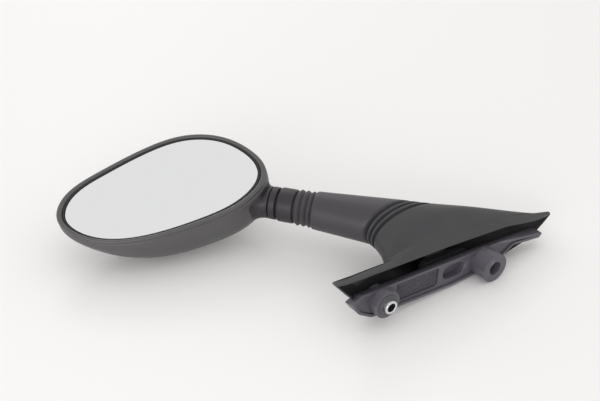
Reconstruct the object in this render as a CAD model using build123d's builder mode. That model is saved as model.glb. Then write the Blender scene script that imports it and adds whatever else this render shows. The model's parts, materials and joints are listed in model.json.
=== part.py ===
from build123d import *
from math import asin, cos, degrees, radians, sin, sqrt
import os

os.makedirs("parts", exist_ok=True)

# A motorcycle fairing mirror, lying glass up.  Millimetres, +Z up.
# Origin: on the seating face of the mounting plate, on the axis of the sleeved boss.
# +X runs along the plate, -Y leaves the plate towards the fairing, +Y runs to the arm.

# ---- mounting plate -------------------------------------------------------------
plate_tilt = 4.0  # fall of the plate towards its far end, degrees
plate_thick = 8.0
plate_top = 10.5
plate_bottom = -12.0
plate_left = -26.5
blade_length = 62.0  # from the long boss's axis to the plate's far end
blade_margin = 6.0  # from the long boss to the blade
plate_rim_width = 2.0
plate_rim_height = 1.5
boss_pitch = 94.0
short_boss_radius = 10.3
short_boss_height = 7.5
long_boss_radius = 11.0
long_boss_height = 14.0
long_boss_bore = 5.2  # radius
sleeve_outer = 5.0
sleeve_bore = 3.3
sleeve_proud = 4.0
sleeve_chamfer = 0.4
grommet_radius = 7.8
grommet_proud = 0.8
grommet_chamfer = 0.5
press_clearance = 0.02
pad_margin = 3.2  # from the short boss to the pad
pad_height = 15.0
pad_corner = 2.0
pad_recess = 1.6
pad_thick = 1.0
pad_gap = 0.3
pocket_setback = 27.5  # from the long boss's axis to the pocket's middle
pocket_margin = 4.5  # from the pad to the pocket
pocket_length = 20.0
pocket_height = 11.0
pocket_depth = 5.5

# ---- arm and boot ---------------------------------------------------------------
neck_angle = 126.0  # heading of the neck seen from above, from +X
arm_sweep = 32.5  # from the cut's middle to the arm's end, along X
arm_end_y = 95.7
arm_height = 14.5
arm_end_step = 0.6  # the arm's end stands this much outside the pleats
arm_wall = 2.6
arm_joint_y = 50.0
joint_setback_u = 18.0  # from the pocket's middle to the cut's middle
joint_v = 18.5
joint_half_u = 25.0
joint_half_v = 17.5
mouth_lip = 1.2
mouth_inset = 0.8  # the arm's mouth stands this much inside the pleats
boot_wall = 3.0
boot_seam = 0.4
lip_thick = 5.0
lip_gap = 0.4
core_end_radius = 8.5
core_foot_radius = 9.0
core_foot_inset = 0.5
core_middle_u = 11.5
core_middle_v = 9.5
core_middle_drop = 1.0  # the core's middle lies below and left of the cut's middle
foot_length = 44.0
foot_height = 13.0
foot_thick = 4.0
foot_shift = 1.0  # from the pocket's middle to the foot's
foot_v = 2.5
screw_radius = 2.5
screw_head_radius = 4.2
screw_head_height = 3.0
screw_clearance = 0.25
screw_grip = 5.5
screw_end_gap = 0.3
screw_socket = 2.2
screw_floor = 1.0
screw_spread = 31.0
core_setback = 3.0
stud_depth = 14.0
stud_neck_radius = 3.2
stud_shoulder = 1.0
hexagon = 6  # sides

# ---- neck -----------------------------------------------------------------------
ball_radius = 7.0
liner_wall = 1.5
socket_wall = 1.7
running_clearance = 0.05
liner_back = 35.0  # half angles of the openings in the liner and the collar
liner_front = 42.0
socket_front = 46.0
spigot_radius = 7.5
spigot_bore = 3.5
joint_setback = 0.31  # the pleats stop this far short of the socket's shoulder
pleat_count = 3
pleat_height = 1.5
pleat_wall = 0.9
pleat_room = 0.7  # between the socket and the pleats
ferrule_gap = 1.0
ferrule_length = 12.0
ferrule_step = 0.8  # each band's radius, from the one before it
ring_step = -0.5
stub_step = -0.2
ferrule_chamfer = 1.2
ring_gap = 1.6
ring_length = 5.0
ring_chamfer = 0.7
washer_inset = 1.8
head_gap = 0.6
nut_radius = 9.6
nut_thick = 5.0
stud_radius = 4.0

# ---- head -----------------------------------------------------------------------
head_inset = 7.07  # where the neck meets the head: inside the glass's end,
head_outset = 9.66  # outside its near side,
head_drop = 13.86  # and below the rim
head_lean = 16.0  # tip of the glass towards the near side, degrees
head_turn = -36.0  # heading of the lean, seen from above
axis_turn = 4.0  # heading of the glass's long axis
glass_length = 139.0
glass_width = 83.0
glass_shape = [  # round the edge, as shares of the half length and half width
    (0.79, -0.94),
    (0.49, -1.04),
    (0.08, -0.95),
    (-0.35, -0.75),
    (-0.73, -0.42),
    (-0.95, 0.03),
    (-0.98, 0.52),
    (-0.79, 0.83),
    (-0.38, 0.94),
    (0.16, 0.92),
    (0.62, 0.74),
    (0.90, 0.33),
    (1.01, -0.18),
    (0.98, -0.66),
]
glass_thick = 2.5
glass_sink = 1.2  # glass face below the shell rim
shell_wall = 2.4
shell_depth = 38.0
seal_width = 1.6
seal_gap = 0.15
seal_proud = 0.2
foam_inset = 6.0
foam_thick = 1.0
carrier_thick = 2.5
carrier_gap = 0.4
stub_root_share = 0.395  # the stub's root radius, as a share of the shell's depth
stub_length = 34.0
stub_wall = 1.4
stub_floor = 5.0
rim_wall = 3.6
rim_depth = 8.0
rim_cover = 0.1
rim_inset = 0.6
pillar_places = [(-16.0, -2.0), (24.0, 2.0), (6.0, -20.0)]
pillar_radius = 4.0
carrier_screw_radius = 1.5
carrier_screw_grip = 9.0
carrier_screw_room = 0.2
carrier_head_radius = 3.0
carrier_head_height = 1.2
carrier_head_sink = 0.1
carrier_shank_start = 0.3

# ---- sizes that follow from the others ------------------------------------------------
plate_right = boss_pitch + blade_length
blade_root = boss_pitch + long_boss_radius + blade_margin
pocket_centre = boss_pitch - pocket_setback
pad_left = short_boss_radius + pad_margin
pad_right = pocket_centre - pocket_length / 2 - pocket_margin
pad_length = pad_right - pad_left
pad_centre = (pad_right + pad_left) / 2
joint_u = pocket_centre - joint_setback_u
arm_end_x = joint_u - arm_sweep
foot_u = pocket_centre - foot_shift
screw_places = [(foot_u - screw_spread / 2, foot_v), (foot_u + screw_spread / 2, foot_v)]
lip_back = plate_thick

liner_radius = ball_radius + running_clearance + liner_wall
seat_radius = liner_radius + running_clearance
socket_radius = seat_radius + socket_wall
spigot_angle = degrees(asin(spigot_radius / socket_radius))
bore_angle = degrees(asin(spigot_bore / seat_radius))
pleat_valley = socket_radius + pleat_room + pleat_wall
pleat_crest = pleat_valley + pleat_height
arm_end_radius = pleat_crest + arm_end_step
mouth_radius = pleat_valley - pleat_wall - mouth_inset
ferrule_radius = pleat_valley + ferrule_step
ring_radius = ferrule_radius + ring_step
neck_stub_radius = ring_radius + stub_step
neck_stub_root = shell_depth * stub_root_share
washer_radius = ring_radius - washer_inset

# places along the neck, from the arm's end
joint_at = sqrt(socket_radius**2 - spigot_radius**2) - joint_setback
pleats_end = 2 * joint_at
pleat_pitch = pleats_end / pleat_count
ferrule_at = pleats_end + ferrule_gap
ferrule_end = ferrule_at + ferrule_length
ring_at = ferrule_end + ring_gap
ring_end = ring_at + ring_length
head_at = ring_end + head_gap
nut_at = head_at + stub_floor
spigot_end = nut_at + nut_thick

# places below the shell's rim
foam_at = glass_sink + glass_thick
carrier_at = foam_at + foam_thick
carrier_seat = carrier_at + carrier_thick

# ---- frames ---------------------------------------------------------------------
tilt = radians(plate_tilt)
base = Plane(origin=(0, 0, 0), x_dir=(cos(tilt), 0, -sin(tilt)), z_dir=(0, -1, 0))

joint_plane = base.offset(-arm_joint_y)

heading = radians(neck_angle)
neck_dir = Vector(cos(heading), sin(heading), 0)
arm_end = Vector(arm_end_x, arm_end_y, arm_height)
neck_axis = Axis(arm_end, neck_dir)
neck_side = Plane(origin=arm_end, x_dir=neck_dir, z_dir=neck_dir.cross(Vector(0, 0, 1)))


def across_neck(distance):
    """A plane square to the neck, this far beyond the arm's end."""
    return Plane(origin=arm_end + neck_dir * distance, x_dir=(0, 0, 1), z_dir=neck_dir)


lean = radians(head_lean)
lean_heading = radians(head_turn - 90)
glass_normal = Vector(
    sin(lean) * cos(lean_heading), sin(lean) * sin(lean_heading), cos(lean)
)
long_flat = Vector(cos(radians(axis_turn)), sin(radians(axis_turn)), 0)
long_axis = (long_flat - glass_normal * long_flat.dot(glass_normal)).normalized()
wide_axis = glass_normal.cross(long_axis)
head_origin = (
    arm_end
    + neck_dir * head_at
    - long_axis * (glass_length / 2 - head_inset)
    + wide_axis * (glass_width / 2 + head_outset)
    + glass_normal * head_drop
)
face = Plane(origin=head_origin, x_dir=long_axis, z_dir=glass_normal)


def rounded(corners):
    """A closed straight-sided outline; each corner has its place and its radius."""
    places = [(along, up) for along, up, radius in corners]
    with BuildSketch() as outline:
        with BuildLine():
            FilletPolyline(*places, radius=[corner[2] for corner in corners], close=True)
        make_face()
    return outline.sketch


def egg(ends, sides=None):
    """The glass's outline, moved out by this much at its ends and at its sides."""
    half_x = glass_length / 2 + ends
    half_y = glass_width / 2 + (ends if sides is None else sides)
    with BuildSketch() as outline:
        with BuildLine():
            Spline(*[(x * half_x, y * half_y) for x, y in glass_shape], periodic=True)
        make_face()
    return outline.sketch


def turned(profile, name):
    """A piece turned about the neck axis; the profile is (along, radius) pairs."""
    with BuildPart() as piece:
        with BuildSketch(neck_side):
            with BuildLine():
                Polyline(*profile, close=True)
            make_face()
        revolve(axis=neck_axis)
    finish(piece.part, name)
    return piece.part


def finish(part, name):
    part.label = name
    export_step(part, f"parts/{name}.step")


# ---- outlines on the plate --------------------------------------------------------
plate_outline = rounded(
    [  # along, up, corner radius
        (plate_left, plate_top - 4.0, 3.5),
        (plate_left + 9.0, plate_top, 6.0),
        (blade_root, plate_top, 20.0),
        (plate_right, plate_top - 7.0, 1.2),
        (plate_right - 4.0, plate_top - 10.5, 1.2),
        (blade_root + 14.0, plate_top - 8.0, 6.0),
        (blade_root - 4.0, plate_bottom + 4.0, 4.0),
        (pocket_centre, plate_bottom, 30.0),
        (plate_left + 18.5, plate_bottom + 1.0, 8.0),
        (plate_left + 6.5, plate_bottom + 8.0, 8.0),
    ]
)
lip_outline = rounded(
    [
        (plate_left - 11.5, plate_top + 12.0, 1.0),
        (plate_left + 2.5, plate_top + 10.5, 30.0),
        (pocket_centre - 6.5, plate_top + 10.0, 60.0),
        (boss_pitch + 26.0, plate_top + 8.0, 60.0),
        (plate_right + 19.0, plate_top - 1.5, 1.5),
        (plate_right - 6.0, plate_top - 11.5, 20.0),
        (boss_pitch + 14.0, plate_bottom + 1.5, 20.0),
        (plate_left + 22.5, plate_bottom + 1.0, 12.0),
        (plate_left - 0.5, plate_top, 4.0),
    ]
)
plate_window = offset(plate_outline, amount=-plate_rim_width)
plate_room = offset(plate_outline, amount=lip_gap)

# ---- mounting plate: one casting with two bosses ------------------------------------
with BuildPart() as mount_plate:
    with BuildSketch(base):
        add(plate_outline)
    extrude(amount=-plate_thick)
    with BuildSketch(base):
        add(plate_outline)
        add(plate_window, mode=Mode.SUBTRACT)
    extrude(amount=plate_rim_height)
    with BuildSketch(base):
        Circle(short_boss_radius)
    extrude(amount=short_boss_height)
    with BuildSketch(base):
        with Locations((boss_pitch, 0)):
            Circle(long_boss_radius)
    extrude(amount=long_boss_height)
    with BuildSketch(base.offset(short_boss_height)):
        Circle(grommet_radius)
    extrude(amount=-(short_boss_height + plate_thick), mode=Mode.SUBTRACT)
    with BuildSketch(base.offset(long_boss_height)):
        with Locations((boss_pitch, 0)):
            Circle(long_boss_bore)
    extrude(amount=-(long_boss_height + plate_thick), mode=Mode.SUBTRACT)
    with BuildSketch(base):
        with Locations((pad_centre, 0)):
            RectangleRounded(pad_length, pad_height, pad_corner)
    extrude(amount=-pad_recess, mode=Mode.SUBTRACT)
    with BuildSketch(base):
        with Locations((pocket_centre, 0)):
            SlotOverall(pocket_length, pocket_height)
    extrude(amount=-pocket_depth, mode=Mode.SUBTRACT)
    with BuildSketch(base.offset(-plate_thick)):
        with Locations(*screw_places):
            Circle(screw_radius)
    extrude(amount=screw_grip, mode=Mode.SUBTRACT)
finish(mount_plate.part, "mount_plate")

with BuildPart() as sleeve_grommet:
    with BuildSketch(base.offset(short_boss_height + grommet_proud)):
        Circle(grommet_radius)
        Circle(sleeve_outer, mode=Mode.SUBTRACT)
    extrude(amount=-(short_boss_height + grommet_proud + plate_thick))
    face_edges = sleeve_grommet.edges().filter_by(GeomType.CIRCLE).sort_by(Axis.Y)[:2]
    chamfer(face_edges, grommet_chamfer)
finish(sleeve_grommet.part, "sleeve_grommet")

with BuildPart() as mount_sleeve:
    with BuildSketch(base.offset(short_boss_height + sleeve_proud)):
        Circle(sleeve_outer)
        Circle(sleeve_bore, mode=Mode.SUBTRACT)
    extrude(amount=-(short_boss_height + sleeve_proud + plate_thick))
    face_edges = mount_sleeve.edges().filter_by(GeomType.CIRCLE).sort_by(Axis.Y)[:2]
    chamfer(face_edges, sleeve_chamfer)
finish(mount_sleeve.part, "mount_sleeve")

with BuildPart() as seating_pad:
    with BuildSketch(base.offset(-pad_recess)):
        with Locations((pad_centre, 0)):
            RectangleRounded(
                pad_length - 2 * pad_gap, pad_height - 2 * pad_gap, pad_corner - pad_gap
            )
    extrude(amount=pad_thick)
finish(seating_pad.part, "seating_pad")

# ---- arm core: a cast strut from the plate's back to the ball stud ----------------------
with BuildPart() as arm_core:
    with BuildSketch(base.offset(-plate_thick)):
        with Locations((foot_u, foot_v)):
            SlotOverall(foot_length, foot_height)
    extrude(amount=-foot_thick)
    with BuildSketch(base.offset(-plate_thick - foot_thick)):
        with Locations((foot_u, foot_v)):
            Ellipse(core_foot_radius, foot_height / 2 - core_foot_inset)
    with BuildSketch(joint_plane):
        with Locations((joint_u - core_middle_drop, joint_v - core_middle_drop)):
            Ellipse(core_middle_u, core_middle_v)
    with BuildSketch(across_neck(-core_setback)):
        Circle(core_end_radius)
    loft()
    with BuildSketch(across_neck(-core_setback)):
        Circle(stud_radius)
    extrude(amount=-stud_depth, mode=Mode.SUBTRACT)
    with BuildSketch(base.offset(-plate_thick)):
        with Locations(*screw_places):
            Circle(screw_radius + screw_clearance)
    extrude(amount=-foot_thick, mode=Mode.SUBTRACT)
finish(arm_core.part, "arm_core")

with BuildPart() as arm_screws:
    with BuildSketch(base.offset(-plate_thick - foot_thick)):
        with Locations(*screw_places):
            Circle(screw_head_radius)
            RegularPolygon(screw_socket, hexagon, mode=Mode.SUBTRACT)
    extrude(amount=-screw_head_height)
    with BuildSketch(base.offset(-plate_thick - foot_thick - screw_floor)):
        with Locations(*screw_places):
            Circle(screw_radius)
    extrude(amount=foot_thick + screw_floor + screw_grip - screw_end_gap)
finish(arm_screws.part, "arm_screws")

# ---- arm cover: a tapering tube whose base is cut parallel to the plate -----------------
with BuildPart() as arm_cover:
    with BuildSketch(across_neck(0)):
        Circle(arm_end_radius)
    with BuildSketch(joint_plane):
        with Locations((joint_u, joint_v)):
            Ellipse(joint_half_u, joint_half_v)
    loft()
    with BuildSketch(across_neck(-mouth_lip)):
        Circle(arm_end_radius - arm_wall)
    with BuildSketch(joint_plane):
        with Locations((joint_u, joint_v)):
            Ellipse(joint_half_u - arm_wall, joint_half_v - arm_wall)
    loft(mode=Mode.SUBTRACT)
    with BuildSketch(across_neck(0)):
        Circle(mouth_radius)
    extrude(amount=-arm_wall, mode=Mode.SUBTRACT)
finish(arm_cover.part, "arm_cover")

# ---- boot: the arm's skirt, from the cover's cut to the lip round the plate ----------------
boot_shape = [  # shares of the way: from the lip to the cut, then from the cut to the plate's
    (1.0, 0.0, 0.0, 0.0, 0.0),  # left end, right end, bottom edge and top edge
    (0.69, 0.02, 0.22, 0.15, 0.0),
    (0.38, 0.08, 0.55, 0.46, 0.08),
    (0.14, 0.23, 0.90, 0.73, 0.33),
    (0.0, 0.87, 1.12, 0.92, 0.63),
]
cut_left = joint_u - joint_half_u
cut_right = joint_u + joint_half_u
cut_bottom = joint_v - joint_half_v
cut_top = joint_v + joint_half_v
boot_sections = []
for back_share, left_share, right_share, bottom_share, top_share in boot_shape:
    back = lip_back + (arm_joint_y - boot_seam - lip_back) * back_share
    left = cut_left + (plate_left - cut_left) * left_share
    right = cut_right + (plate_right - cut_right) * right_share
    bottom = cut_bottom + (plate_bottom - cut_bottom) * bottom_share
    top = cut_top + (plate_top - cut_top) * top_share
    centre = ((left + right) / 2, (bottom + top) / 2)
    boot_sections.append((back, centre, (right - left) / 2, (top - bottom) / 2))

with BuildPart() as base_boot:
    for back, centre, half_u, half_v in boot_sections:
        with BuildSketch(base.offset(-back)):
            with Locations(centre):
                Ellipse(half_u, half_v)
    loft()
    with BuildSketch(base.offset(-lip_back)):
        add(lip_outline)
    extrude(amount=lip_thick)
    for back, centre, half_u, half_v in boot_sections:
        with BuildSketch(base.offset(-back)):
            with Locations(centre):
                Ellipse(half_u - boot_wall, half_v - boot_wall)
    loft(mode=Mode.SUBTRACT)
    with BuildSketch(base.offset(-lip_back)):
        add(plate_room)
    extrude(amount=lip_thick, mode=Mode.SUBTRACT)
finish(base_boot.part, "base_boot")

# ---- ball, liner and collar ---------------------------------------------------------------
def spherical(inner, outer, start, end, name):
    """A band of a hollow sphere about the joint's centre, in degrees from the head side."""
    with BuildPart() as piece:
        with BuildSketch(neck_side):
            with BuildLine():
                low = CenterArc((joint_at, 0), inner, start, end - start)
                high = CenterArc((joint_at, 0), outer, start, end - start)
                Line(low @ 0, high @ 0)
                Line(low @ 1, high @ 1)
            make_face()
        revolve(axis=neck_axis)
    finish(piece.part, name)


stud_half_angle = degrees(asin(stud_neck_radius / ball_radius))
with BuildPart() as ball_stud:
    with BuildSketch(neck_side):
        with BuildLine():
            ball = CenterArc((joint_at, 0), ball_radius, 0, 180 - stud_half_angle)
            Polyline(
                ball @ 1,
                (-core_setback + stud_shoulder, stud_neck_radius),
                (-core_setback + stud_shoulder, stud_radius - press_clearance),
                (-core_setback - stud_depth, stud_radius - press_clearance),
                (-core_setback - stud_depth, 0),
                ball @ 0,
            )
        make_face()
    revolve(axis=neck_axis)
finish(ball_stud.part, "ball_stud")

spherical(
    ball_radius + running_clearance, liner_radius, liner_back, 180 - liner_front, "ball_liner"
)
spherical(seat_radius, socket_radius, 90, 180 - socket_front, "socket_collar")

# ---- socket, bellows, ferrule, rings and nut, all turned about the neck ------------------
with BuildPart() as ball_socket:
    with BuildSketch(neck_side):
        with BuildLine():
            outer = CenterArc((joint_at, 0), socket_radius, spigot_angle, 90 - spigot_angle)
            inner = CenterArc((joint_at, 0), seat_radius, bore_angle, 90 - bore_angle)
            Line(outer @ 1, inner @ 1)
            Polyline(
                outer @ 0,
                (spigot_end, spigot_radius),
                (spigot_end, spigot_bore),
                inner @ 0,
            )
        make_face()
    revolve(axis=neck_axis)
finish(ball_socket.part, "ball_socket")

bellows_outer = []
for pleat in range(pleat_count):
    start = pleat * pleat_pitch
    bellows_outer.append((start, pleat_valley))
    bellows_outer.append((start + pleat_pitch / 2, pleat_crest))
bellows_outer.append((pleats_end, pleat_valley))
bellows_inner = [(along, radius - pleat_wall) for along, radius in bellows_outer]
turned(bellows_outer + bellows_inner[::-1], "neck_bellows")

turned(
    [
        (ferrule_at, spigot_radius + press_clearance),
        (ferrule_at, ferrule_radius - ferrule_chamfer),
        (ferrule_at + ferrule_chamfer, ferrule_radius),
        (ferrule_end - ferrule_chamfer, ferrule_radius),
        (ferrule_end, ferrule_radius - ferrule_chamfer),
        (ferrule_end, spigot_radius + press_clearance),
    ],
    "neck_ferrule",
)
turned(
    [
        (ferrule_end, spigot_radius + press_clearance),
        (ferrule_end, washer_radius),
        (ring_at, washer_radius),
        (ring_at, spigot_radius + press_clearance),
    ],
    "neck_washer",
)
turned(
    [
        (ring_at, spigot_radius + press_clearance),
        (ring_at, ring_radius - ring_chamfer),
        (ring_at + ring_chamfer, ring_radius),
        (ring_end - ring_chamfer, ring_radius),
        (ring_end, ring_radius - ring_chamfer),
        (ring_end, spigot_radius + press_clearance),
    ],
    "neck_ring",
)
turned(
    [
        (ring_end, spigot_radius + press_clearance),
        (ring_end, washer_radius),
        (head_at, washer_radius),
        (head_at, spigot_radius + press_clearance),
    ],
    "head_washer",
)
with BuildPart() as neck_nut:
    with BuildSketch(across_neck(nut_at)):
        RegularPolygon(nut_radius, hexagon)
        Circle(spigot_radius + press_clearance, mode=Mode.SUBTRACT)
    extrude(amount=nut_thick)
finish(neck_nut.part, "neck_nut")

# ---- head shell: a bowl behind the glass, with a stub that takes the neck ------------------
rim_grow = seal_gap + seal_width + rim_wall
bowl = [  # share of the depth, growth at the ends and sides, shift along and across
    (0.0, rim_grow, rim_grow, 0.0, 0.0),
    (0.24, rim_grow - 0.7, rim_grow + 0.6, 0.9, -2.0),
    (0.5, rim_grow - 7.0, rim_grow - 3.0, 5.0, -7.0),
    (0.76, rim_grow - 18.0, rim_grow - 11.0, 9.0, -11.0),
    (1.0, rim_grow - 37.0, rim_grow - 27.0, 8.5, -11.0),
]
inner_depth = shell_depth - shell_wall
with BuildPart() as head_shell:
    for share, ends, sides, along, across in bowl:
        with BuildSketch(face.offset(-shell_depth * share)):
            with Locations((along, across)):
                add(egg(ends, sides))
    loft()
    with BuildSketch(across_neck(head_at)):
        Circle(neck_stub_radius)
    with BuildSketch(across_neck(head_at + stub_length)):
        Circle(neck_stub_root)
    loft()
    split(bisect_by=face, keep=Keep.BOTTOM)
    for share, ends, sides, along, across in bowl:
        with BuildSketch(face.offset(-inner_depth * share)):
            with Locations((along, across)):
                add(egg(ends - shell_wall, sides - shell_wall))
    loft(mode=Mode.SUBTRACT)
    with BuildSketch(face.offset(-rim_depth)):
        add(egg(rim_grow - rim_inset))
        add(egg(seal_gap + seal_width), mode=Mode.SUBTRACT)
    extrude(amount=rim_depth - rim_cover)
    with BuildSketch(face):
        add(egg(seal_gap + seal_width))
    extrude(amount=-rim_depth, mode=Mode.SUBTRACT)
    with BuildSketch(across_neck(nut_at)):
        Circle(neck_stub_radius - stub_wall)
    with BuildSketch(across_neck(head_at + stub_length)):
        Circle(neck_stub_root - stub_wall)
    loft(mode=Mode.SUBTRACT)
    with BuildSketch(across_neck(head_at)):
        Circle(spigot_radius + press_clearance)
    extrude(amount=stub_floor, mode=Mode.SUBTRACT)
    with BuildSketch(face.offset(-carrier_seat)):
        with Locations(*pillar_places):
            Circle(pillar_radius)
    extrude(amount=-(shell_depth - carrier_seat - shell_wall / 2))
    with BuildSketch(face.offset(-carrier_seat)):
        with Locations(*pillar_places):
            Circle(carrier_screw_radius)
    extrude(amount=-carrier_screw_grip, mode=Mode.SUBTRACT)
finish(head_shell.part, "head_shell")

# ---- glass, its pad, seal, carrier and screws -----------------------------------------------
with BuildPart() as mirror_glass:
    with BuildSketch(face.offset(-glass_sink)):
        add(egg(0))
    extrude(amount=-glass_thick)
finish(mirror_glass.part, "mirror_glass")

with BuildPart() as glass_seal:
    with BuildSketch(face.offset(-glass_sink + seal_proud)):
        add(egg(seal_width))
        add(egg(seal_gap), mode=Mode.SUBTRACT)
    extrude(amount=-(glass_thick + seal_proud))
finish(glass_seal.part, "glass_seal")

with BuildPart() as glass_pad:
    with BuildSketch(face.offset(-foam_at)):
        add(egg(-foam_inset))
    extrude(amount=-foam_thick)
finish(glass_pad.part, "glass_pad")

with BuildPart() as glass_carrier:
    with BuildSketch(face.offset(-carrier_at)):
        add(egg(seal_width - carrier_gap))
    extrude(amount=-carrier_thick)
    with BuildSketch(face.offset(-carrier_at)):
        with Locations(*pillar_places):
            Circle(carrier_head_radius + carrier_screw_room)
    extrude(amount=-carrier_head_height, mode=Mode.SUBTRACT)
    with BuildSketch(face.offset(-carrier_at)):
        with Locations(*pillar_places):
            Circle(carrier_screw_radius + carrier_screw_room)
    extrude(amount=-carrier_thick, mode=Mode.SUBTRACT)
finish(glass_carrier.part, "glass_carrier")

with BuildPart() as carrier_screws:
    with BuildSketch(face.offset(-carrier_at - carrier_head_sink)):
        with Locations(*pillar_places):
            Circle(carrier_head_radius)
    extrude(amount=-(carrier_head_height - carrier_head_sink))
    with BuildSketch(face.offset(-carrier_at - carrier_shank_start)):
        with Locations(*pillar_places):
            Circle(carrier_screw_radius)
    extrude(amount=-(carrier_thick + carrier_screw_grip - 2 * carrier_shank_start))
finish(carrier_screws.part, "carrier_screws")
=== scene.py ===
import json
from math import cos, hypot, pi, radians, sin

import bmesh
import bpy
import numpy as np
from mathutils import Matrix, Vector
from mathutils.bvhtree import BVHTree


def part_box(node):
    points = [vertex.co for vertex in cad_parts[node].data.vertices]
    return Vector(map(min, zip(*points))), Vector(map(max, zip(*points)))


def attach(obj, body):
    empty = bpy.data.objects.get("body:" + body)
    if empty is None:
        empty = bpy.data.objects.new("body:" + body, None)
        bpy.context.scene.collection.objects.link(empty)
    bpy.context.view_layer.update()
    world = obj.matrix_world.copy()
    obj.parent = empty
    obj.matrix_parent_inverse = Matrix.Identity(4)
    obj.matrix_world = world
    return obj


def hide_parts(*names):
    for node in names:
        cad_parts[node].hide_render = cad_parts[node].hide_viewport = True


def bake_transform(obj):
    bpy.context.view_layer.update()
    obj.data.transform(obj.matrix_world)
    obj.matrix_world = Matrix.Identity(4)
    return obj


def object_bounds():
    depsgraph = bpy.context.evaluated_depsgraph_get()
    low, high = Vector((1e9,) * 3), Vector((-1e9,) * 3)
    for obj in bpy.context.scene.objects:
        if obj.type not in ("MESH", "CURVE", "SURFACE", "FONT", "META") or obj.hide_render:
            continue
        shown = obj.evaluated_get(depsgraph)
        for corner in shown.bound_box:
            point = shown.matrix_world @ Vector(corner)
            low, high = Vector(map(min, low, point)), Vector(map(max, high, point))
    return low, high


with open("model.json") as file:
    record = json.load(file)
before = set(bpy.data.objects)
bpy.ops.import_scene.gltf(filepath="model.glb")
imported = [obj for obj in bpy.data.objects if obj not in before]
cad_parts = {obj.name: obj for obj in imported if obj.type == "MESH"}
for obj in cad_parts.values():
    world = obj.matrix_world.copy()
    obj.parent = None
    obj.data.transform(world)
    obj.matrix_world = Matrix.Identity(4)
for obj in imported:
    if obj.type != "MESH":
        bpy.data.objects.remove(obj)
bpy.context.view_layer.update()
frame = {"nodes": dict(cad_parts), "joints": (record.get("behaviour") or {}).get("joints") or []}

MM = 0.001  # plain lengths below are in millimetres, and this turns them into the frame's metres

# ---- the frame the looks are built on --------------------------------------------------------
joints = {joint["name"]: joint for joint in frame["joints"]}
PIVOT = Vector(joints["head_swing"]["pos_m"])
UP = Vector((0, 0, 1))
NECK_SIDE = Vector(joints["head_nod"]["axis"]).normalized()
NECK = UP.cross(NECK_SIDE)
PLEATS = 3
PLEAT_PITCH = 4.5 * MM
ARM_END = PIVOT - NECK * (PLEATS * PLEAT_PITCH / 2)

PLATE_TILT = radians(4.0)
ALONG = Vector((cos(PLATE_TILT), 0, -sin(PLATE_TILT)))
ABOVE = Vector((sin(PLATE_TILT), 0, cos(PLATE_TILT)))
BACK = Vector((0, 1, 0))

HEAD = Vector((-71.0, 167.8, 28.0)) * MM
HEAD_LEAN = radians(16.0)
LEAN_HEADING = radians(-126.0)
GLASS_HALF = (69.5 * MM, 41.5 * MM)
FACE = Vector(
    (sin(HEAD_LEAN) * cos(LEAN_HEADING), sin(HEAD_LEAN) * sin(LEAN_HEADING), cos(HEAD_LEAN))
)
LONG_HEADING = radians(4.0)
LONG_FLAT = Vector((cos(LONG_HEADING), sin(LONG_HEADING), 0))
LONG = (LONG_FLAT - FACE * LONG_FLAT.dot(FACE)).normalized()
WIDE = FACE.cross(LONG)


def on_base(u, v, back):
    """A point by its place along and above the plate's axis and behind its face, in millimetres."""
    return (ALONG * u + ABOVE * v + BACK * back) * MM


def on_face(x, y, depth):
    """A point by its place along and across the glass and below the rim, in metres."""
    return HEAD + LONG * x + WIDE * y - FACE * depth


def on_neck(along, radius, angle):
    """A point by its distance from the arm's end, its radius and its turn, in metres."""
    out = NECK_SIDE * cos(angle) + UP * sin(angle)
    return ARM_END + NECK * along + out * radius


# ---- meshes ----------------------------------------------------------------------------------
def make(name, points, faces, body, replaced=(), smooth=40):
    mesh = bpy.data.meshes.new(name)
    mesh.from_pydata([tuple(p) for p in points], [], faces)
    mesh.validate()
    piece = bpy.data.objects.new(name, mesh)
    bpy.context.collection.objects.link(piece)
    tidy(piece, smooth)
    if body:
        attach(piece, body)
    for node in replaced:
        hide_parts(node)
    return piece


def tidy(piece, smooth):
    """Turns every face outwards and shades edges sharper than the angle as sharp."""
    work = bmesh.new()
    work.from_mesh(piece.data)
    bmesh.ops.recalc_face_normals(work, faces=work.faces)
    for edge in work.edges:
        edge.smooth = edge.calc_face_angle(0.0) < radians(smooth)
    for face in work.faces:
        face.smooth = True
    work.to_mesh(piece.data)
    work.free()


def rings_to_faces(count, size, closed_ends=(False, False), loop=False):
    """Quads between equal rings of points, with the end rings capped or joined in a loop."""
    faces = []
    last = count if loop else count - 1
    for ring in range(last):
        a, b = ring * size, (ring + 1) % count * size
        for k in range(size):
            n = (k + 1) % size
            faces.append((a + k, a + n, b + n, b + k))
    if closed_ends[0]:
        faces.append(tuple(range(size))[::-1])
    if closed_ends[1]:
        faces.append(tuple(range((count - 1) * size, count * size)))
    return faces


def lathe(name, profile, body, replaced=(), turns=96, smooth=40):
    """A closed ring turned about the neck; the profile is (along, radius) pairs in millimetres."""
    points = []
    for along, radius in profile:
        for k in range(turns):
            points.append(on_neck(along * MM, radius * MM, 2 * pi * k / turns))
    faces = rings_to_faces(len(profile), turns, loop=True)
    return make(name, points, faces, body, replaced, smooth)


def through(sections, steps):
    """Rows of numbers eased through the given rows by a Catmull-Rom curve."""
    rows = np.array(sections, float)
    padded = np.vstack([2 * rows[0] - rows[1], rows, 2 * rows[-1] - rows[-2]])
    result = []
    for i in range(len(rows) - 1):
        p0, p1, p2, p3 = padded[i : i + 4]
        for k in range(steps):
            t = k / steps
            result.append(
                0.5
                * (
                    2 * p1
                    + (p2 - p0) * t
                    + (2 * p0 - 5 * p1 + 4 * p2 - p3) * t**2
                    + (3 * p1 - p0 - 3 * p2 + p3) * t**3
                )
            )
    result.append(rows[-1])
    return result


CORNER_LIMIT = 0.49  # share of a side that one corner may take


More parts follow.
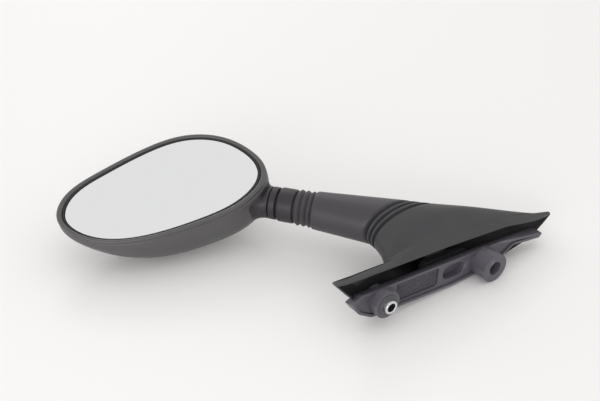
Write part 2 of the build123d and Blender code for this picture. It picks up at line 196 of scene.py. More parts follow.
def corner_profile(points, radii, steps):
    """A closed outline of (a, b) pairs with every corner rounded off."""
    result = []
    count = len(points)
    for i, corner in enumerate(points):
        corner = Vector(corner)
        before = Vector(points[i - 1]) - corner
        after = Vector(points[(i + 1) % count]) - corner
        turn = before.angle(after)
        shortest = min(before.length, after.length)
        reach = min(radii[i] / np.tan(turn / 2), shortest * CORNER_LIMIT)
        a = corner + before.normalized() * reach
        b = corner + after.normalized() * reach
        for k in range(steps + 1):
            t = k / steps
            point = a * (1 - t) ** 2 + corner * 2 * t * (1 - t) + b * t**2
            result.append((point.x, point.y))
    return result


WELD = 2e-6  # metres
FLAT_ANGLE = radians(1.0)  # facets that turn less than this are joined
SHARP_ANGLE = radians(30.0)  # edges that turn more than this are rounded


def refined(node, body, width, segments):
    """A CAD node's shape with its sharp edges rounded off."""
    mesh = frame["nodes"][node].data.copy()
    mesh.name = node + "_shape"
    piece = bpy.data.objects.new(node + "_shape", mesh)
    bpy.context.collection.objects.link(piece)
    work = bmesh.new()
    work.from_mesh(mesh)
    bmesh.ops.remove_doubles(work, verts=work.verts, dist=WELD)
    bmesh.ops.dissolve_limit(work, angle_limit=FLAT_ANGLE, verts=work.verts, edges=work.edges)
    work.to_mesh(mesh)
    work.free()
    bevel = piece.modifiers.new("rounded edges", "BEVEL")
    bevel.width = width * MM
    bevel.segments = segments
    bevel.limit_method = "ANGLE"
    bevel.angle_limit = SHARP_ANGLE
    bpy.context.view_layer.update()
    graph = bpy.context.evaluated_depsgraph_get()
    rounded = bpy.data.meshes.new_from_object(piece.evaluated_get(graph))
    piece.modifiers.clear()
    piece.data = rounded
    tidy(piece, 35)
    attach(piece, body)
    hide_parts(node)
    return piece


# ---- materials -------------------------------------------------------------------------------
PATCH_SCALE = 45.0
PATCH_DETAIL = 6.0
GRAIN_DETAIL = 3.0
WORN_FROM, WORN_TO = 0.52, 0.62  # pointiness where wear starts and where it is full
WORN_GAIN, WORN_LIFT = 2.2, 0.03  # how much lighter a worn edge is
GLOSS_SPREAD = 0.07
LEAST_ROUGH = 0.03


def surface(name, colour, rough, grain, depth, mottle=0.12, wear=0.0, metal=0.0, streak=1.0):
    """A moulded or metal surface: grain in the bump, patches in colour and gloss, worn edges."""
    material = bpy.data.materials.new(name)
    material.use_nodes = True
    nodes, links = material.node_tree.nodes, material.node_tree.links
    shader = nodes["Principled BSDF"]
    shader.inputs["Metallic"].default_value = metal
    place = nodes.new("ShaderNodeTexCoord")
    stretch = nodes.new("ShaderNodeMapping")
    stretch.inputs["Scale"].default_value = (1.0, streak, 1.0)
    links.new(place.outputs["Object"], stretch.inputs["Vector"])

    patches = nodes.new("ShaderNodeTexNoise")
    patches.inputs["Scale"].default_value = PATCH_SCALE
    patches.inputs["Detail"].default_value = PATCH_DETAIL
    links.new(stretch.outputs["Vector"], patches.inputs["Vector"])
    speckle = nodes.new("ShaderNodeTexNoise")
    speckle.inputs["Scale"].default_value = grain
    speckle.inputs["Detail"].default_value = GRAIN_DETAIL
    links.new(stretch.outputs["Vector"], speckle.inputs["Vector"])

    tint = nodes.new("ShaderNodeMix")
    tint.data_type = "RGBA"
    tint.inputs["A"].default_value = [c * (1 - mottle) for c in colour] + [1]
    tint.inputs["B"].default_value = [min(1, c * (1 + mottle)) for c in colour] + [1]
    links.new(patches.outputs["Fac"], tint.inputs["Factor"])
    base = tint.outputs["Result"]
    if wear:
        edge = nodes.new("ShaderNodeNewGeometry")
        ramp = nodes.new("ShaderNodeMapRange")
        ramp.inputs["From Min"].default_value = WORN_FROM
        ramp.inputs["From Max"].default_value = WORN_TO
        ramp.inputs["To Max"].default_value = wear
        links.new(edge.outputs["Pointiness"], ramp.inputs["Value"])
        worn = nodes.new("ShaderNodeMix")
        worn.data_type = "RGBA"
        lighter = [min(1, c * WORN_GAIN + WORN_LIFT) for c in colour]
        worn.inputs["B"].default_value = lighter + [1]
        links.new(ramp.outputs["Result"], worn.inputs["Factor"])
        links.new(base, worn.inputs["A"])
        base = worn.outputs["Result"]
    links.new(base, shader.inputs["Base Color"])

    gloss = nodes.new("ShaderNodeMapRange")
    gloss.inputs["To Min"].default_value = max(LEAST_ROUGH, rough - GLOSS_SPREAD)
    gloss.inputs["To Max"].default_value = rough + GLOSS_SPREAD
    links.new(patches.outputs["Fac"], gloss.inputs["Value"])
    links.new(gloss.outputs["Result"], shader.inputs["Roughness"])

    bump = nodes.new("ShaderNodeBump")
    bump.inputs["Strength"].default_value = 1.0
    bump.inputs["Distance"].default_value = depth * MM
    links.new(speckle.outputs["Fac"], bump.inputs["Height"])
    links.new(bump.outputs["Normal"], shader.inputs["Normal"])
    return material


def paint(piece, material):
    piece.data.materials.clear()
    piece.data.materials.append(material)
    return piece


SHELL = surface("shell plastic", (0.082, 0.079, 0.083), 0.36, 2600, 0.012, wear=0.3)
ARM = surface("arm plastic", (0.045, 0.041, 0.049), 0.44, 2200, 0.02, wear=0.2)
RUBBER = surface("boot rubber", (0.040, 0.038, 0.042), 0.46, 1800, 0.02, 0.18, wear=0.2)
# Also used on the head's stub, which is the shell's own plastic; there the darker colour is painted
# shade.
NECK_PLASTIC_AND_STUB_SHADE = surface("neck plastic and painted stub shade", (0.022, 0.019, 0.023), 0.46, 2400, 0.015, wear=0.1)
BELLOWS = surface("bellows rubber", (0.044, 0.041, 0.047), 0.5, 2000, 0.02, wear=0.4)
DARK = surface("washer rubber", (0.010, 0.010, 0.011), 0.7, 2000, 0.02)
# The boot's own rubber drawn near-black for the lip's inside and the hollow: painted shade.
SHADE = surface("painted shade rubber", (0.008, 0.0075, 0.009), 0.65, 1800, 0.03)
SEAL = surface("seal rubber", (0.012, 0.012, 0.013), 0.6, 2000, 0.01)
PLATE = surface("plate plastic", (0.078, 0.072, 0.090), 0.42, 1500, 0.03, 0.15, wear=0.6)
PAD = surface("pad rubber", (0.046, 0.043, 0.054), 0.35, 1500, 0.03, 0.2, wear=0.9)
GROMMET = surface("grommet rubber", (0.075, 0.072, 0.082), 0.5, 1500, 0.02, 0.15, wear=0.3)
STEEL = surface("plated steel", (0.72, 0.74, 0.76), 0.22, 900, 0.006, 0.05, 0.2, 1.0, 0.1)
ALLOY = surface("cast alloy", (0.45, 0.45, 0.46), 0.5, 1200, 0.05, 0.15, 0.2, 1.0)
# Near black so that the arm core's foot, where it shows above the plate's rim, reads as the dark
# channel: painted shade.
CORE_SHADE = surface("arm core painted shade", (0.014, 0.013, 0.015), 0.6, 1200, 0.05, 0.2)
LINER = surface("liner acetal", (0.75, 0.73, 0.68), 0.4, 1500, 0.01)
CARRIER = surface("carrier plastic", (0.05, 0.05, 0.05), 0.55, 1500, 0.03)
FOAM = surface("foam pad", (0.08, 0.08, 0.08), 0.9, 700, 0.25)
MIRROR = surface("silvered glass", (0.86, 0.87, 0.885), 0.035, 300, 0.0004, 0.01, 0.0, 1.0)


# ---- head shell ------------------------------------------------------------------------------
GLASS_MIDDLE = 20 * MM  # CAD points nearer the centre than this aren't on the edge


def glass_outline(count=192, easing=3):
    """The glass's edge as (x, y) about its centre, read from the CAD glass, evenly by angle."""
    flat = []
    for vertex in frame["nodes"]["mirror_glass"].data.vertices:
        offset = vertex.co - HEAD
        flat.append((offset.dot(LONG), offset.dot(WIDE)))
    flat = np.array(flat)
    turn = np.arctan2(flat[:, 1] / GLASS_HALF[1], flat[:, 0] / GLASS_HALF[0])
    reach = np.hypot(flat[:, 0], flat[:, 1])
    keep = reach > GLASS_MIDDLE
    order = np.argsort(turn[keep])
    turn, flat = turn[keep][order], flat[keep][order]
    wrapped = np.concatenate([turn - 2 * pi, turn, turn + 2 * pi])
    angles = np.linspace(0, 2 * pi, count, endpoint=False)
    x = np.interp(angles, wrapped, np.tile(flat[:, 0], 3))
    y = np.interp(angles, wrapped, np.tile(flat[:, 1], 3))
    for _ in range(easing):
        x = (np.roll(x, 1) + 2 * x + np.roll(x, -1)) / 4
        y = (np.roll(y, 1) + 2 * y + np.roll(y, -1)) / 4
    return list(zip(x, y))


EDGE = glass_outline()


def egg_ring(depth, ends, along=0.0, across=0.0, share=1.0, sides=None):
    """The glass's outline moved out at its ends and sides, at a depth below the rim, in mm."""
    sides = ends if sides is None else sides
    sx = (1 + ends * MM / GLASS_HALF[0]) * share
    sy = (1 + sides * MM / GLASS_HALF[1]) * share
    return [
        on_face(x * sx + along * MM, y * sy + across * MM, depth * MM) for x, y in EDGE
    ]


SHELL_DEPTH = 38.0
WALL = 2.4
RIM_GROW = 5.35
BOWL = [  # depth, growth at the ends and sides, shift along and across
    (3.6, RIM_GROW + 0.05, RIM_GROW + 0.10, 0.2, -0.5),
    (9.1, RIM_GROW - 0.7, RIM_GROW + 0.5, 0.9, -2.0),
    (19.0, RIM_GROW - 7.0, RIM_GROW - 3.0, 5.0, -7.0),
    (28.9, RIM_GROW - 18.0, RIM_GROW - 11.0, 9.0, -11.0),
    (35.2, RIM_GROW - 29.0, RIM_GROW - 20.0, 9.5, -11.5),
    (SHELL_DEPTH - 0.1, RIM_GROW - 41.0, RIM_GROW - 31.0, 9.5, -11.5),
]
STUB_AT = 33.7


RIM = [  # depth and growth, from the glass's pocket over the bead to the seam line
    (6.5, 1.75), (1.6, 1.75), (0.9, 1.95), (0.35, 2.4), (0.08, 3.0), (0.02, 3.6),
    (0.10, 4.2), (0.35, 4.75), (0.8, 5.15), (1.3, 5.32), (2.1, 5.35), (2.45, 5.25),
    (2.7, 4.95), (2.95, 4.9), (3.2, 5.15),
]
OUTER_STEPS, INNER_STEPS = 8, 3
FLOOR_SHARES = (0.75, 0.45, 0.15)  # rings that close the bowl's floor
INNER_TOP = 7.0  # the hollow starts this deep
INNER_SHARE = 0.94  # the hollow's depth over the bowl's


def bowl_side():
    """The rings of the bowl's outer side, from the rim's seam line to its floor."""
    return [
        egg_ring(depth, ends, along, across, sides=sides)
        for depth, ends, sides, along, across in through(BOWL, OUTER_STEPS)
    ]


def outer_bowl():
    _, ends, sides, along, across = BOWL[-1]
    rings = [egg_ring(depth, grow) for depth, grow in RIM]
    rings += bowl_side()
    for share in FLOOR_SHARES:
        rings.append(egg_ring(SHELL_DEPTH - 0.02, ends, along, across, share, sides))
    return rings


def inner_bowl():
    rings = []
    for depth, ends, sides, along, across in through(BOWL, INNER_STEPS)[::-1]:
        if depth > INNER_TOP:
            rings.append(
                egg_ring(depth * INNER_SHARE, ends - WALL, along, across, sides=sides - WALL)
            )
    return rings


def head_shell():
    """The shell as one closed skin: the outer bowl, the hollow, and the pocket's wall between."""
    outer = outer_bowl()
    inner = inner_bowl()
    rings = outer + inner
    points = [p for ring in rings for p in ring]
    size = len(EDGE)
    faces = rings_to_faces(len(outer), size)
    start = len(outer) * size
    for face in rings_to_faces(len(inner), size):
        faces.append(tuple(i + start for i in face))
    faces.append(tuple(range((len(outer) - 1) * size, len(outer) * size)))
    faces.append(tuple(range(start, start + size)))
    last = (len(rings) - 1) * size
    for k in range(size):
        n = (k + 1) % size
        faces.append((k, n, last + n, last + k))
    return points, faces


STUB_TURNS, STUB_STEPS = 128, 20
STUB_RADIUS = 12.0
STUB_BORE = 7.6
STUB_FACE = 11.4  # radius of the flat face, inside its slanted edge
STUB_EDGE = 0.6  # length of the slanted edge round the face
RAY_SETBACK = 6.0  # the search for the shell starts this far before the stub
NARROWEST, WIDEST = 4.0, 27.0  # how far from the axis the trumpet may open
SPREAD_STEP = 0.1
BELOW_RIM = 4.3  # the trumpet stays at least this far under the rim
FARTHEST = 32.0  # most from the stub's face to where the trumpet meets the shell
SPREAD_EASING = 40
OPENING = 8.0  # how much wider than the stub the trumpet is when it ends facing straight outwards
HANDLE_SHARE = 0.42  # length of the curve's handles over the distance they span
SUNK = 0.25  # how far the trumpet's edge dips under the shell's skin
ROOT = 1.6  # how deep the trumpet's closed end lies in the shell


def stub():
    """The trumpet that carries the shell into the neck, ending tangent on the shell's side."""
    side_rings = bowl_side()
    size = len(EDGE)
    tree = BVHTree.FromPolygons(
        [tuple(p) for ring in side_rings for p in ring], rings_to_faces(len(side_rings), size)
    )
    middle = on_neck(STUB_AT * MM, 0, 0)
    turns = [2 * pi * k / STUB_TURNS for k in range(STUB_TURNS)]

    def meet(angle, spread):
        start = on_neck((STUB_AT - RAY_SETBACK) * MM, spread * MM, angle)
        return tree.ray_cast(start, NECK)

    def reaches(angle, spread):
        hit, _, _, _ = meet(angle, spread)
        if hit is None:
            return False
        depth = (HEAD - hit).dot(FACE)
        return depth > BELOW_RIM * MM and (hit - middle).dot(NECK) < FARTHEST * MM

    spreads = []
    for angle in turns:
        low, high = NARROWEST, WIDEST
        while high - low > SPREAD_STEP:
            trial = (low + high) / 2
            if reaches(angle, trial):
                low = trial
            else:
                high = trial
        spreads.append(low)
    spreads = np.array(spreads)
    eased = spreads.copy()
    for _ in range(SPREAD_EASING):
        eased = (np.roll(eased, 1) + 2 * eased + np.roll(eased, -1)) / 4
        eased = np.minimum(eased, spreads)

    rings = [[] for _ in range(STUB_STEPS + 4)]
    for angle, spread in zip(turns, eased):
        start = on_neck((STUB_AT + STUB_EDGE) * MM, STUB_RADIUS * MM, angle)
        out = (on_neck(STUB_AT * MM, STUB_RADIUS * MM, angle) - middle).normalized()
        end, normal, _, _ = meet(angle, spread)
        if normal.dot(NECK) > 0:
            normal = -normal
        open_share = min(1.0, max(0.0, (spread - STUB_RADIUS) / OPENING))
        away = out * open_share + NECK * (1 - open_share)
        away = (away - normal * away.dot(normal)).normalized()
        handle = (end - start).length * HANDLE_SHARE
        sunk = end - normal * SUNK * MM
        first = start + NECK * handle
        second = sunk - away * handle
        for step in range(STUB_STEPS + 1):
            t = step / STUB_STEPS
            rings[step + 2].append(
                start * (1 - t) ** 3
                + first * 3 * t * (1 - t) ** 2
                + second * 3 * t * t * (1 - t)
                + sunk * t**3
            )
        rings[0].append(on_neck(STUB_AT * MM, STUB_BORE * MM, angle))
        rings[1].append(on_neck(STUB_AT * MM, STUB_FACE * MM, angle))
        rings[-1].append(end - normal * ROOT * MM)
    points = [p for ring in rings for p in ring]
    return points, rings_to_faces(len(rings), STUB_TURNS, closed_ends=(True, True))


shell_points, shell_faces = head_shell()
shell = make("head_shell_body", shell_points, shell_faces, "head", ["head_shell"], smooth=50)
paint(shell, SHELL)
# The stub is drawn in the darker neck plastic instead of the shell's: painted shade where it sits
# under the bowl.
flare = make("head_stub", *stub(), "head", ["head_shell"], smooth=50)
paint(flare, NECK_PLASTIC_AND_STUB_SHADE)

# ---- glass and its seal ----------------------------------------------------------------------
glass_rows = [
    (3.7, 0.0), (1.9, 0.0), (1.45, -0.15), (1.25, -0.45), (1.2, -0.8), (1.2, -0.95),
    (1.2, -1.1), (1.2, -10.0),
]
rings = [egg_ring(depth, grow) for depth, grow in glass_rows]
face_depth, face_grow = glass_rows[-1]
rings += [egg_ring(face_depth, face_grow, share=share) for share in (0.7, 0.4, 0.1)]
glass = make(
    "mirror_glass_face",
    [p for ring in rings for p in ring],
    rings_to_faces(len(rings), len(EDGE), closed_ends=(True, True)),
    "head",
    ["mirror_glass"],
    smooth=8,
)
paint(glass, MIRROR)
seal_rows = [(3.6, 0.2), (1.35, 0.2), (1.0, 0.45), (0.9, 0.9), (1.0, 1.4), (1.35, 1.7), (3.6, 1.7)]
rings = [egg_ring(depth, grow) for depth, grow in seal_rows]
seal = make(
    "glass_seal_lip",
    [p for ring in rings for p in ring],
    rings_to_faces(len(rings), len(EDGE), loop=True),
    "head",
    ["glass_seal"],
)
paint(seal, SEAL)

# ---- neck ------------------------------------------------------------------------------------
SPIGOT_RADIUS = 7.55  # every collar's bore
WASHER_RADIUS = 10.4
CREST_RISE = 1.7
VALLEY_RADIUS = 11.7
PLEAT_SHARPNESS = 0.8
BELLOWS_WALL = 0.9
BELLOWS_STEPS = 30
CUFF_RADII = (10.5, 11.3)
CUFF_LAP = 0.5  # how far the cuff reaches into the pleats and into the ferrule

pleats_end = PLEATS * PLEAT_PITCH / MM
ferrule_at = pleats_end + 1.0
ferrule_end = ferrule_at + 12.0
ring_at = ferrule_end + 1.6
ring_end = ring_at + 5.0


def tube(name, start, end, radii, edge, node):
    """A tube on the head about the neck, with its outer edges rounded."""
    bore, radius = radii
    outline = [(start, bore), (start, radius), (end, radius), (end, bore)]
    profile = corner_profile(outline, [0.05, edge, edge, 0.05], 6)
    return lathe(name, profile, "head", [node])


def collar(name, start, end, radius, edge, node):
    return tube(name, start, end, (SPIGOT_RADIUS, radius), edge, node)


paint(
    collar("ferrule_sleeve", ferrule_at, ferrule_end, 12.7, 1.3, "neck_ferrule"),
    NECK_PLASTIC_AND_STUB_SHADE,
)
paint(
    collar("ring_band", ring_at, ring_end, 12.2, 0.9, "neck_ring"),
    NECK_PLASTIC_AND_STUB_SHADE,
)
paint(
    collar("groove_washer", ferrule_end, ring_at, WASHER_RADIUS, 0.3, "neck_washer"),
    DARK,
)
paint(
    collar("seam_washer", ring_end, STUB_AT, WASHER_RADIUS, 0.15, "head_washer"),
    DARK,
)


def bellows_radius(along):
    """Sharp crests and rounded valleys."""
    phase = (along / (PLEAT_PITCH / MM)) % 1.0
    return VALLEY_RADIUS + CREST_RISE * (1 - abs(2 * phase - 1)) ** PLEAT_SHARPNESS


def bellows(name, start, end):
    """Half of the pleats, fixed in place and attached to no body."""
    steps = BELLOWS_STEPS
    outside = [start + (end - start) * k / steps for k in range(steps + 1)]
    profile = [(s, bellows_radius(s)) for s in outside]
    profile += [(s, bellows_radius(s) - BELLOWS_WALL) for s in outside[::-1]]
    piece = lathe(name, profile, None, ["neck_bellows"], smooth=70)
    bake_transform(piece)
    return paint(piece, BELLOWS)


middle = pleats_end / 2
bellows("bellows_arm_half", 0.0, middle)
bellows("bellows_head_half", middle, pleats_end)
cuff_start, cuff_end = pleats_end - CUFF_LAP, ferrule_at + CUFF_LAP
cuff = tube("bellows_cuff", cuff_start, cuff_end, CUFF_RADII, 0.1, "neck_bellows")
paint(cuff, DARK)

# ---- arm and boot ----------------------------------------------------------------------------
ARM_RADIUS = 14.0
ARM_STEPS = 26
ARM_WAIST = (0.03, 0.985)  # shares of the arm between its rounded mouth and its rounded cut
CUT = (48.5, 18.5, 25.0, 17.5)  # centre along and up, half axes
CUT_BACK = 50.0
MOUTH = [  # share of the arm's length and inset, from inside the round end to its outside
    (0.12, 3.8), (0.004, 3.6), (0.0, 2.6), (0.0, 1.4), (0.006, 0.5), (0.016, 0.12), (0.03, 0.0),
]
CUT_EDGE = [(0.99, 0.1), (0.997, 0.45), (1.0, 1.0), (1.0, 2.5), (0.85, 2.6)]
BOOT = [  # distance behind the face, centre along and up, half axes
    (49.6, *CUT),
    (37.0, 57.0, 17.5, 34.5, 18.5),
    (24.0, 69.0, 14.5, 49.5, 19.5),
    (14.0, 80.0, 9.5, 68.0, 18.0),
    (9.6, 74.0, 7.0, 89.0, 17.7),
]
TURNS = 240


def oval(back, u, v, half_u, half_v):
    """A ring parallel to the plate's face, its points in the boot's shared directions."""
    ring = []
    for angle in BOOT_ANGLES:
        ring.append(on_base(u + half_u * cos(angle), v + half_v * sin(angle), back))
    return ring


def arm_ring(share, inset=0.0):
    """A ring of the arm, from its round end (0) to the cut that meets the boot (1)."""
    u, v, half_u, half_v = CUT
    ring = []
    for k in range(TURNS):
        angle = 2 * pi * k / TURNS
        first = on_neck(0, (ARM_RADIUS - inset) * MM, angle)
        last = on_base(
            u + (half_u - inset) * cos(angle), v + (half_v - inset) * sin(angle), CUT_BACK
        )
        ring.append(first.lerp(last, share))
    return ring


def arm_cover():
    """The arm's rings, from its mouth along its outside to the cut and back inside."""
    rings = [arm_ring(share, inset) for share, inset in MOUTH]
    start, end = ARM_WAIST
    for k in range(1, ARM_STEPS):
        rings.append(arm_ring(start + (end - start) * k / ARM_STEPS))
    rings += [arm_ring(share, inset) for share, inset in CUT_EDGE]
    return rings


rings = arm_cover()
arm = make(
    "arm_cover_skin",
    [p for ring in rings for p in ring],
    rings_to_faces(len(rings), TURNS, loop=True),
    "base",
    ["arm_cover"],
)
paint(arm, ARM)

LIP_CORNERS = [  # along, up, corner radius
    (-38.0, 22.5, 1.0),
    (-24.0, 21.0, 30.0),
    (60.0, 20.5, 60.0),
    (120.0, 18.5, 60.0),
    (175.0, 9.0, 1.5),
    (150.0, -1.0, 20.0),
    (108.0, -10.5, 20.0),
    (-4.0, -11.0, 12.0),
    (-27.0, 10.5, 4.0),
]
LIP_CENTRE = (70.0, 6.0)
LIP_SCALE = (105.0, 15.0)
LIP_STEP = 0.25
LENGTH_SHARE = 0.5  # the rest of the lip's points are spaced by direction
FLARE_FROM, FLARE_OVER = 2.0, 40.0  # where along the lip the flare starts and over what length
TIP_FROM, TIP_OVER = 135.0, 36.0  # the same for the pointed tip, where the lip folds back
TIP_BACK, TIP_FOLD = 9.0, 0.8


def lip_edge():
    """The lip's edge as close points with their directions from its centre."""
    corners = corner_profile([c[:2] for c in LIP_CORNERS], [c[2] for c in LIP_CORNERS], 10)
    dense = []
    for i, (u, v) in enumerate(corners):
        nu, nv = corners[(i + 1) % len(corners)]
        pieces = max(1, int(hypot(nu - u, nv - v) / LIP_STEP))
        for k in range(pieces):
            dense.append((u + (nu - u) * k / pieces, v + (nv - v) * k / pieces))
    dense = np.array(dense)
    turn = np.arctan2(
        (dense[:, 1] - LIP_CENTRE[1]) / LIP_SCALE[1], (dense[:, 0] - LIP_CENTRE[0]) / LIP_SCALE[0]
    )
    order = np.argsort(turn)
    return turn[order], dense[order]


def shared_angles():
    """Directions spaced half by angle and half by length along the lip."""
    turn, dense = lip_edge()
    step = np.hypot(*(dense - np.roll(dense, 1, axis=0)).T)
    walked = np.cumsum(step) / step.sum()
    swept = (turn - turn[0]) / (2 * pi)
    share = LENGTH_SHARE * walked + (1 - LENGTH_SHARE) * swept
    share = (share - share[0]) / (share[-1] - share[0])
    return np.interp(np.arange(TURNS) / TURNS, share, turn)


BOOT_ANGLES = shared_angles()


def lip_outline(inset):
    """The lip's edge as (u, v), moved in by an inset and matched to the boot's rings by direction."""
    turn, dense = lip_edge()
    wrapped = np.concatenate([turn - 2 * pi, turn, turn + 2 * pi])
    u = np.interp(BOOT_ANGLES, wrapped, np.tile(dense[:, 0], 3))
    v = np.interp(BOOT_ANGLES, wrapped, np.tile(dense[:, 1], 3))
    du = np.roll(u, -1) - np.roll(u, 1)
    dv = np.roll(v, -1) - np.roll(v, 1)
    size = np.hypot(du, dv)
    return np.stack([u - dv / size * inset, v + du / size * inset], 1)


def lip_ring(back, inset, lift):
    """The lip's edge at a depth, moved in all round and raised where it runs into the flare."""
    ring = []
    for (u, v), angle in zip(lip_outline(inset), BOOT_ANGLES):
        flare = min(1.0, max(0.0, (u - FLARE_FROM) / FLARE_OVER))
        rise = lift * max(0.0, sin(angle)) ** 0.5 * flare * flare * (3 - 2 * flare)
        tip = min(1.0, max(0.0, (u - TIP_FROM) / TIP_OVER))
        fold = (TIP_BACK - back) * TIP_FOLD * tip * tip
        ring.append(on_base(u, v + rise, back + fold))
    return ring


RIBS_FROM, RIBS_TO = 35.4, 49.7  # distance behind the face
RIB_PITCH = 4.5
GROOVE_DEPTH = 2.8
GROOVE_HALF_WIDTH = 0.32  # share of the pitch
GROOVE_ROUNDNESS = 0.6
GROOVE_STRETCH = 1.25  # how much deeper the grooves are at the long ends
FINE_STEPS = 48
FINE_FROM = 34  # behind this every step of the boot is kept, and in front of it one in COARSE
COARSE = 4
HOLLOW_COARSE = 8
BRIDGE = (0.3, 0.6, 0.85)  # shares of the way from the flare to the lip
LIP = [  # distance behind the face, inset and lift
    (9.0, 0.3, 3.9), (8.3, 0.1, 3.4), (7.2, 0.0, 2.7), (5.8, 0.0, 1.8), (4.4, 0.0, 0.9),
    (3.6, 0.05, 0.4), (3.2, 0.25, 0.1), (3.05, 0.55, 0.0), (3.1, 0.9, 0.0), (3.6, 1.3, 0.0),
    (6.5, 1.9, 0.8), (8.5, 2.4, 2.0),
]
LIP_SHADE = 4  # the faces drawn in the near-black painted-shade rubber start this many rings before the hollow
HOLLOW_FROM = 12  # the hollow's rings start this far behind the face
WALL_CHANGE = 33  # in front of this the wall is FLARE_WALL, and behind it RIB_WALL
FLARE_WALL, RIB_WALL = 3.4, 5.5


def groove_depth(back):
    """Three rounded ribs between narrow grooves, just below the arm's cut."""
    if not RIBS_FROM < back < RIBS_TO:
        return 0.0
    phase = ((RIBS_TO - back) / RIB_PITCH) % 1.0
    return GROOVE_DEPTH * max(0.0, 1 - abs(phase - 0.5) / GROOVE_HALF_WIDTH) ** GROOVE_ROUNDNESS


def boot():
    """The skirt: its outside, the lip round the plate, and the hollow behind the lip."""
    outer = []
    fine = through(BOOT, FINE_STEPS)
    last_row = len(fine) - 1
    rows = []
    for i, row in enumerate(fine):
        if row[0] > FINE_FROM or i % COARSE == 0 or i == last_row:
            rows.append(row)
    for back, u, v, half_u, half_v in rows:
        dip = groove_depth(back)
        outer.append(oval(back, u, v, half_u - dip * GROOVE_STRETCH, half_v - dip))
    last = np.array([tuple(p) for p in outer[-1]])
    edge = np.array([tuple(p) for p in lip_ring(*LIP[0])])
    bridge = [[Vector(p) for p in last * (1 - t) + edge * t] for t in BRIDGE]
    inside = []
    for back, u, v, half_u, half_v in fine[::-HOLLOW_COARSE]:
        if back > HOLLOW_FROM:
            wall = FLARE_WALL if back < WALL_CHANGE else RIB_WALL
            inside.append(oval(back, u, v, half_u - wall, half_v - wall))
    rings = outer + bridge + [lip_ring(*row) for row in LIP] + inside
    return rings, len(rings) - len(inside) - LIP_SHADE


rings, inner_start = boot()
boot_skin = make(
    "base_boot_skin",
    [p for ring in rings for p in ring],
    rings_to_faces(len(rings), TURNS, loop=True),
    "base",
    ["base_boot"],
    smooth=45,
)
paint(boot_skin, RUBBER)
# The lip's inside and the hollow behind it get the near-black rubber: painted shade, not a different
# rubber.
boot_skin.data.materials.append(SHADE)
for polygon in boot_skin.data.polygons:
    if polygon.index // TURNS >= inner_start:
        polygon.material_index = 1

# ---- mounting plate --------------------------------------------------------------------------
RIM_EDGE = 0.4  # thickness of the rim that stays
RIM_SLOPE = 0.62
UPPER_SIDE = 2.0  # above this the plate is drawn in, fully so UPPER_OVER further up
UPPER_OVER = 5.0
RIGHT_END, RIGHT_OVER = 148.0, 35.0  # where along the plate the drawing in has faded out


def thin_rim(piece):
    """Draws the upper side in behind the plate's rim, so that only the rim's edge shows."""
    for vertex in piece.data.vertices:
        u, v = vertex.co.dot(ALONG) / MM, vertex.co.dot(ABOVE) / MM
        behind = vertex.co.y / MM
        if behind > RIM_EDGE and v > UPPER_SIDE:
            fade = min(1.0, max(0.0, (RIGHT_END - u) / RIGHT_OVER))
            share = fade * min(1.0, (v - UPPER_SIDE) / UPPER_OVER)
            vertex.co -= ABOVE * (behind - RIM_EDGE) * RIM_SLOPE * share * MM
    return piece


paint(thin_rim(refined("mount_plate", "base", 0.55, 3)), PLATE)


def boss_ring(name, outline, radii, node, turns=96):
    """A closed ring turned about the sleeved boss; the outline is (out from the face, radius)."""
    profile = corner_profile(outline, radii, 5)
    points = []
    for out, radius in profile:
        for k in range(turns):
            angle = 2 * pi * k / turns
            points.append(on_base(radius * cos(angle), radius * sin(angle), -out))
    faces = rings_to_faces(len(profile), turns, loop=True)
    return make(name, points, faces, "base", [node], smooth=50)


paint(
    boss_ring(
        "sleeve_tube",
        [(-8.0, 3.3), (11.5, 3.3), (11.5, 5.0), (-8.0, 5.0)],
        [0.2, 0.35, 0.5, 0.2],
        "mount_sleeve",
    ),
    STEEL,
)
paint(
    boss_ring(
        "grommet_ring",
        [(-8.0, 5.0), (8.9, 5.0), (8.9, 6.4), (8.3, 6.5), (8.3, 7.8), (-8.0, 7.8)],
        [0.1, 0.25, 0.3, 0.2, 0.5, 0.2],
        "sleeve_grommet",
    ),
    GROMMET,
)


PAD_CENTRE, PAD_LENGTH, PAD_HEIGHT = 32.75, 37.9, 14.4
PAD_CELLS = (200, 76)
PEBBLE_PITCH, ROW_PITCH = 2.0, 1.75
PEBBLE_REACH = 0.78  # the pebble's radius, squared
PEBBLE_RISE = 0.72
PAD_SUNK = 0.75  # the ground between the pebbles, below the pad's top
PAD_EDGE_CELLS = 3  # over which the pebbles flatten at the pad's edge
PAD_BASE = 0.22


def pebbled_pad():
    """A rubber pad covered in close round pebbles."""
    low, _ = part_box("seating_pad")
    top = -low.y / MM
    nu, nv = PAD_CELLS
    points, faces = [], []
    for j in range(nv + 1):
        for i in range(nu + 1):
            u = PAD_CENTRE + PAD_LENGTH * (i / nu - 0.5)
            v = PAD_HEIGHT * (j / nv - 0.5)
            row = round(v / ROW_PITCH)
            du = (u + (row % 2) * PEBBLE_PITCH / 2) % PEBBLE_PITCH - PEBBLE_PITCH / 2
            dv = v - row * ROW_PITCH
            bead = max(0.0, 1 - (du * du + dv * dv) / PEBBLE_REACH) ** 0.5
            fade = min(1.0, min(i, nu - i, j, nv - j) / PAD_EDGE_CELLS)
            points.append(on_base(u, v, -top + PAD_SUNK - PEBBLE_RISE * bead * fade))
    for j in range(nv):
        for i in range(nu):
            a = j * (nu + 1) + i
            faces.append((a, a + 1, a + nu + 2, a + nu + 1))
    rim = list(range(nu + 1))
    rim += [(j + 1) * (nu + 1) + nu for j in range(nv)]
    rim += [nv * (nu + 1) + nu - 1 - i for i in range(nu)]
    rim += [(nv - 1 - j) * (nu + 1) for j in range(nv - 1)]
    start = len(points)
    for i in rim:
        points.append(points[i] + BACK * PAD_BASE * MM)
    count = len(rim)
    for k in range(count):
        n = (k + 1) % count
        faces.append((rim[k], rim[n], start + n, start + k))
    faces.append(tuple(range(start, start + count)))
    return points, faces


pad = make("seating_pad_face", *pebbled_pad(), "base", ["seating_pad"], smooth=60)
paint(pad, PAD)

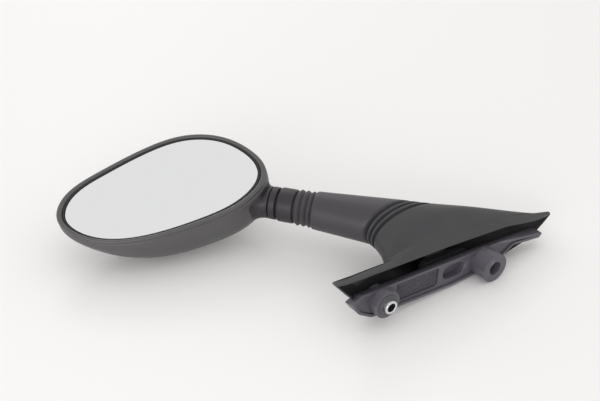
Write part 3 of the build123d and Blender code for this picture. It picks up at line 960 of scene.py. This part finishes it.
# ---- pieces that stay as the CAD has them ----------------------------------------------------
KEPT = {
    "arm_core": CORE_SHADE,
    "arm_screws": STEEL,
    "ball_stud": STEEL,
    "ball_liner": LINER,
    "socket_collar": ALLOY,
    "ball_socket": ALLOY,
    "neck_nut": STEEL,
    "glass_carrier": CARRIER,
    "glass_pad": FOAM,
    "carrier_screws": STEEL,
}
for node, material in KEPT.items():
    paint(frame["nodes"][node], material)

# ---- floor, light and camera -----------------------------------------------------------------
FLOOR_HALF = 6.0
FLOOR_GAP = 0.0002
low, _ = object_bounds()
floor_mesh = bpy.data.meshes.new("table_top")
floor_corners = [(x * FLOOR_HALF, y * FLOOR_HALF, 0) for x, y in ((-1, -1), (1, -1), (1, 1), (-1, 1))]
floor_mesh.from_pydata(floor_corners, [], [(0, 1, 2, 3)])
floor = bpy.data.objects.new("table_top", floor_mesh)
bpy.context.collection.objects.link(floor)
floor.location.z = low.z - FLOOR_GAP
floor_material = bpy.data.materials.new("white laminate")
floor_material.use_nodes = True
floor_shader = floor_material.node_tree.nodes["Principled BSDF"]
floor_shader.inputs["Base Color"].default_value = (0.935, 0.93, 0.925, 1)
floor_shader.inputs["Roughness"].default_value = 0.55
floor_mesh.materials.append(floor_material)

world = bpy.data.worlds.new("studio")
bpy.context.scene.world = world
world.use_nodes = True
world.node_tree.nodes["Background"].inputs["Color"].default_value = (1.0, 0.99, 0.975, 1)
world.node_tree.nodes["Background"].inputs["Strength"].default_value = 0.87

VIEW = Matrix.Rotation(radians(-36.0), 3, "Z")  # the photographer's heading
CAMERA_FALL = radians(33.0)
AIM = Vector((21.8, 122.4, 6.7)) * MM
STAND_OFF = 0.830
FOCAL_SHARE = 1100.0 / 600.0  # focal length over picture width
SENSOR_WIDTH = 36.0


def lamp(name, place, aim, power, size):
    """A rectangular lamp; its place and aim are from the camera's aim, turned to its heading."""
    data = bpy.data.lights.new(name, "AREA")
    data.energy = power
    data.shape = "RECTANGLE"
    data.size, data.size_y = size
    light = bpy.data.objects.new(name, data)
    bpy.context.collection.objects.link(light)
    light.location = AIM + VIEW @ Vector(place)
    direction = AIM + VIEW @ Vector(aim) - light.location
    light.rotation_euler = direction.to_track_quat("-Z", "Y").to_euler()


lamp("overhead", (-0.4, 1.35, 0.9), (0, 0, 0), 2.2, (0.5, 0.4))
lamp("front fill", (-0.5, -1.5, 0.5), (-0.05, 0, 0), 8.0, (1.5, 0.5))

camera_data = bpy.data.cameras.new("camera")
camera_data.sensor_width = SENSOR_WIDTH
camera_data.lens = SENSOR_WIDTH * FOCAL_SHARE
camera_data.clip_start = 0.01
camera = bpy.data.objects.new("camera", camera_data)
bpy.context.collection.objects.link(camera)
look = VIEW @ Vector((0, cos(CAMERA_FALL), -sin(CAMERA_FALL)))
camera.location = AIM - look * STAND_OFF
camera.rotation_euler = look.to_track_quat("-Z", "Y").to_euler()
bpy.context.scene.camera = camera
bpy.context.scene.view_settings.view_transform = "Standard"
